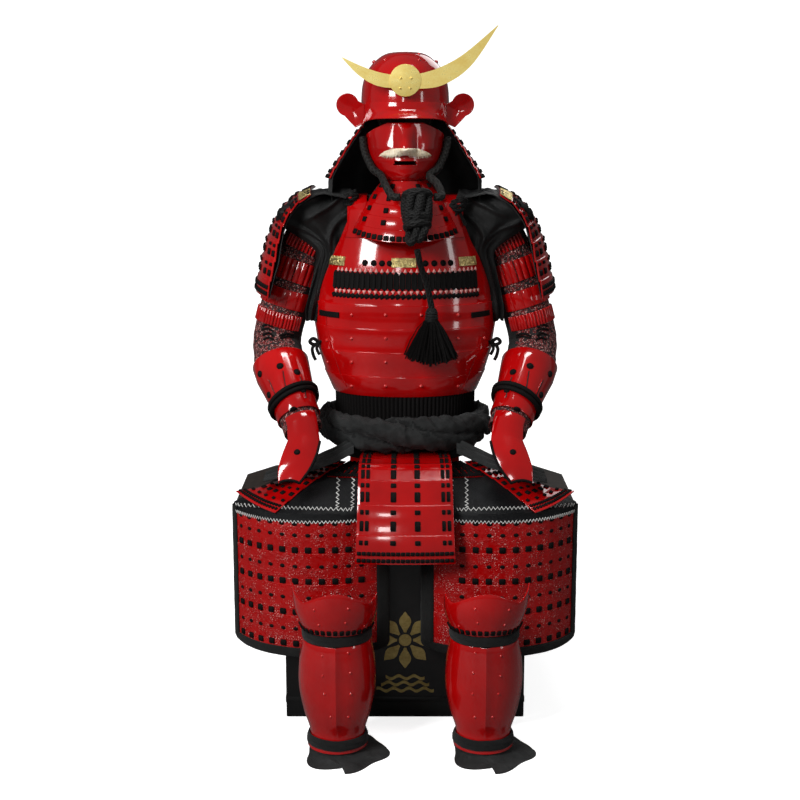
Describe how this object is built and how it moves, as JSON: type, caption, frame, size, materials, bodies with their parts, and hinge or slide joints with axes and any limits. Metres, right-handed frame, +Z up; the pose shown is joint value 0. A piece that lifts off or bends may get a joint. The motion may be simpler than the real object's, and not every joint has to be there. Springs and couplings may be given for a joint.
{
  "type": "samurai armour on chest stand",
  "caption": "Seated suit of red laced plate armour with helmet, face mask, shoulder guards, sleeves, aprons and shin guards, standing on its black storage chest",
  "frame": {"origin": "centre of the chest's underside, on the floor", "axes": "+Z up, -Y towards the viewer (front of the armour), +X to the viewer's right"},
  "size_m": [0.7368, 0.7572, 1.4627],
  "materials": {
    "red_lacquer": "glossy red lacquer over iron plate",
    "red_scale": "rows of small red lacquered scales laced to black cloth, black edging",
    "black_cloth": "matte black cotton cloth",
    "black_cord": "black braided silk cord",
    "black_lacquer": "black lacquered wood",
    "mail": "red and black ring mail and splints on cloth",
    "brass": "satin brass plate",
    "hair": "pale natural hair",
    "wood": "plain softwood stand"
  },
  "bodies": {
    "root": {"cuirass_front": "red_lacquer", "cuirass_back": "red_lacquer", "strap_right": "red_lacquer", "strap_left": "red_lacquer", "tasset_front": "red_lacquer", "tasset_inner_right": "red_lacquer", "tasset_inner_left": "red_lacquer", "tasset_outer_right": "red_lacquer", "tasset_outer_left": "red_lacquer", "tasset_back_right": "red_lacquer", "tasset_back_left": "red_lacquer", "forearm_plates_right": "red_lacquer", "forearm_plates_left": "red_lacquer", "hand_guard_right": "red_lacquer", "hand_guard_left": "red_lacquer", "shoulder_guard_right": "red_lacquer", "shoulder_guard_left": "red_lacquer", "helmet_bowl": "red_lacquer", "helmet_brim": "red_lacquer", "neck_guard": "red_lacquer", "helmet_ear_right": "red_lacquer", "helmet_ear_left": "red_lacquer", "face_mask": "red_lacquer", "throat_guard": "red_lacquer", "shin_guard_right": "red_lacquer", "shin_guard_left": "red_lacquer", "knee_guard_right": "red_lacquer", "knee_guard_left": "red_lacquer", "thigh_apron_right": "red_scale", "thigh_apron_left": "red_scale", "sash": "black_cloth", "shoulder_cloth_right": "black_cloth", "shoulder_cloth_left": "black_cloth", "shin_cloth_right": "black_cloth", "shin_cloth_left": "black_cloth", "knee_tie_right": "black_cloth", "knee_tie_left": "black_cloth", "ankle_tie_right": "black_cloth", "ankle_tie_left": "black_cloth", "waist_lacing": "black_cord", "chest_lace_band": "black_cord", "cord_knot": "black_cord", "cord_drop": "black_cord", "tassel": "black_cord", "face_cord_right": "black_cord", "face_cord_left": "black_cord", "chest_body": "black_lacquer", "chest_lid": "black_lacquer", "sleeve_right": "mail", "sleeve_left": "mail", "helmet_crest": "brass", "brass_plate_right": "brass", "brass_plate_middle": "brass", "brass_plate_left": "brass", "moustache": "hair", "stand_seat": "wood", "stand_post": "wood", "stand_head": "wood", "leg_stand_right": "wood", "leg_stand_left": "wood"}
  },
  "joints": []
}
